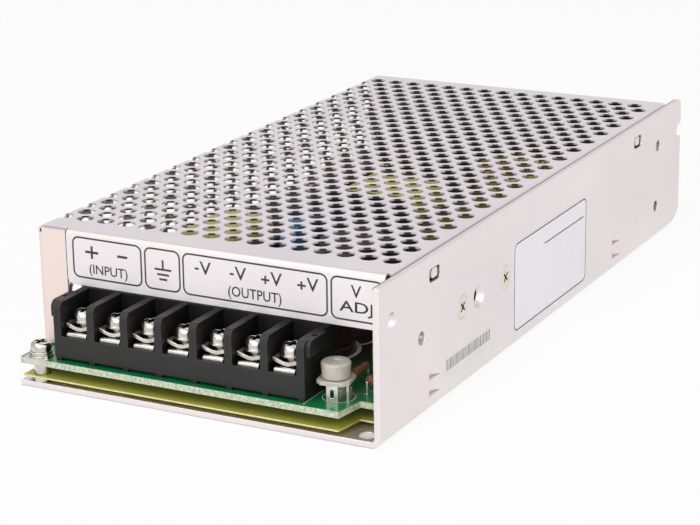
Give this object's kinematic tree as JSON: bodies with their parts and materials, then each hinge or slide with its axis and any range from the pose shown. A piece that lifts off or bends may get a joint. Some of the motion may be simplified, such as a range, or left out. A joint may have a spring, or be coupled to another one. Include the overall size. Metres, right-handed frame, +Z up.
{
  "type": "dc-dc converter",
  "caption": "Enclosed DC-DC converter: folded aluminium chassis, perforated cover, barrier terminal block, voltage trimmer and circuit board.",
  "frame": {"origin": "middle of the footprint, on the underside of the chassis plate", "axes": "+X from the left side to the chassis wall, +Y from the terminals to the rear, +Z up"},
  "size_m": [0.098, 0.1998, 0.038],
  "materials": {
    "chassis_aluminium": "satin",
    "cover_sheet": "satin",
    "screw_steel": "polished",
    "insulation_film": "translucent gloss",
    "board_green": "solder mask",
    "terminal_black": "fine matt",
    "plated_metal": "tinned",
    "trimmer_white": "translucent white",
    "component_black": "matt",
    "pad_grey": "matt",
    "screw_yellow": "passivated",
    "ferrite": "matt",
    "tape_yellow": "tape",
    "ring_yellow": "painted",
    "copper_wire": "enamelled",
    "sleeve_brown": "shrink sleeve",
    "sleeve_black": "shrink sleeve",
    "disc_blue": "dipped",
    "film_green": "dipped",
    "dipped_red": "dipped",
    "resistor_brown": "lacquered",
    "fuse_glass": "clear"
  },
  "bodies": {
    "unit": {"chassis": "chassis_aluminium", "cover": "cover_sheet", "cover_screws": "screw_steel", "insulation_sheet": "insulation_film", "board_standoffs": "screw_steel", "circuit_board": "board_green", "board_flat_washers": "screw_steel", "board_spring_washers": "screw_steel", "board_screws": "screw_steel", "terminal_block": "terminal_black", "terminal_contacts": "plated_metal", "trimmer_base": "trimmer_white", "trimmer_legs": "plated_metal", "power_transistors": "component_black", "transistor_pads": "pad_grey", "transistor_screws": "screw_yellow", "transistor_nuts": "screw_steel", "transformer_core": "ferrite", "transformer_bobbin": "component_black", "transformer_winding": "tape_yellow", "filter_core": "ferrite", "filter_winding": "tape_yellow", "output_choke_core": "ring_yellow", "output_choke_winding": "copper_wire", "input_capacitors": "sleeve_brown", "output_capacitors": "sleeve_black", "disc_capacitor": "disc_blue", "film_capacitor": "film_green", "dipped_capacitor": "dipped_red", "film_shield": "insulation_film", "resistor_bodies": "resistor_brown", "resistor_leads": "plated_metal", "control_chips": "component_black", "fuse_tube": "fuse_glass", "fuse_caps": "plated_metal"},
    "knob": {"trimmer_knob": "trimmer_white"},
    "clamp_1": {"clamp_plate_1": "plated_metal"},
    "screw_1": {"terminal_screw_1": "screw_steel"},
    "clamp_2": {"clamp_plate_2": "plated_metal"},
    "screw_2": {"terminal_screw_2": "screw_steel"},
    "clamp_3": {"clamp_plate_3": "plated_metal"},
    "screw_3": {"terminal_screw_3": "screw_steel"},
    "clamp_4": {"clamp_plate_4": "plated_metal"},
    "screw_4": {"terminal_screw_4": "screw_steel"},
    "clamp_5": {"clamp_plate_5": "plated_metal"},
    "screw_5": {"terminal_screw_5": "screw_steel"},
    "clamp_6": {"clamp_plate_6": "plated_metal"},
    "screw_6": {"terminal_screw_6": "screw_steel"},
    "clamp_7": {"clamp_plate_7": "plated_metal"},
    "screw_7": {"terminal_screw_7": "screw_steel"}
  },
  "joints": [
    {"name": "clamp_1_lift", "type": "slide", "parent": "unit", "child": "clamp_1", "axis": [0, 0, 1], "range_m": [0, 0.002]},
    {"name": "screw_1_turn", "type": "hinge", "parent": "clamp_1", "child": "screw_1", "pos_m": [-0.03325, -0.0931, 0.0168], "axis": [0, 0, 1], "range_deg": [0, 1200]},
    {"name": "clamp_2_lift", "type": "slide", "parent": "unit", "child": "clamp_2", "axis": [0, 0, 1], "range_m": [0, 0.002]},
    {"name": "screw_2_turn", "type": "hinge", "parent": "clamp_2", "child": "screw_2", "pos_m": [-0.02375, -0.0931, 0.0168], "axis": [0, 0, 1], "range_deg": [0, 1200]},
    {"name": "clamp_3_lift", "type": "slide", "parent": "unit", "child": "clamp_3", "axis": [0, 0, 1], "range_m": [0, 0.002]},
    {"name": "screw_3_turn", "type": "hinge", "parent": "clamp_3", "child": "screw_3", "pos_m": [-0.01425, -0.0931, 0.0168], "axis": [0, 0, 1], "range_deg": [0, 1200]},
    {"name": "clamp_4_lift", "type": "slide", "parent": "unit", "child": "clamp_4", "axis": [0, 0, 1], "range_m": [0, 0.002]},
    {"name": "screw_4_turn", "type": "hinge", "parent": "clamp_4", "child": "screw_4", "pos_m": [-0.00475, -0.0931, 0.0168], "axis": [0, 0, 1], "range_deg": [0, 1200]},
    {"name": "clamp_5_lift", "type": "slide", "parent": "unit", "child": "clamp_5", "axis": [0, 0, 1], "range_m": [0, 0.002]},
    {"name": "screw_5_turn", "type": "hinge", "parent": "clamp_5", "child": "screw_5", "pos_m": [0.00475, -0.0931, 0.0168], "axis": [0, 0, 1], "range_deg": [0, 1200]},
    {"name": "clamp_6_lift", "type": "slide", "parent": "unit", "child": "clamp_6", "axis": [0, 0, 1], "range_m": [0, 0.002]},
    {"name": "screw_6_turn", "type": "hinge", "parent": "clamp_6", "child": "screw_6", "pos_m": [0.01425, -0.0931, 0.0168], "axis": [0, 0, 1], "range_deg": [0, 1200]},
    {"name": "clamp_7_lift", "type": "slide", "parent": "unit", "child": "clamp_7", "axis": [0, 0, 1], "range_m": [0, 0.002]},
    {"name": "screw_7_turn", "type": "hinge", "parent": "clamp_7", "child": "screw_7", "pos_m": [0.02375, -0.0931, 0.0168], "axis": [0, 0, 1], "range_deg": [0, 1200]},
    {"name": "knob_turn", "type": "hinge", "parent": "unit", "child": "knob", "pos_m": [0.0344, -0.0921, 0.014], "axis": [0, 0, 1], "range_deg": [-135, 135]}
  ],
  "couplings": [
    {"joint": "screw_1_turn", "follows": "clamp_1_lift", "rad_per_m": 10472},
    {"joint": "screw_2_turn", "follows": "clamp_2_lift", "rad_per_m": 10472},
    {"joint": "screw_3_turn", "follows": "clamp_3_lift", "rad_per_m": 10472},
    {"joint": "screw_4_turn", "follows": "clamp_4_lift", "rad_per_m": 10472},
    {"joint": "screw_5_turn", "follows": "clamp_5_lift", "rad_per_m": 10472},
    {"joint": "screw_6_turn", "follows": "clamp_6_lift", "rad_per_m": 10472},
    {"joint": "screw_7_turn", "follows": "clamp_7_lift", "rad_per_m": 10472}
  ]
}
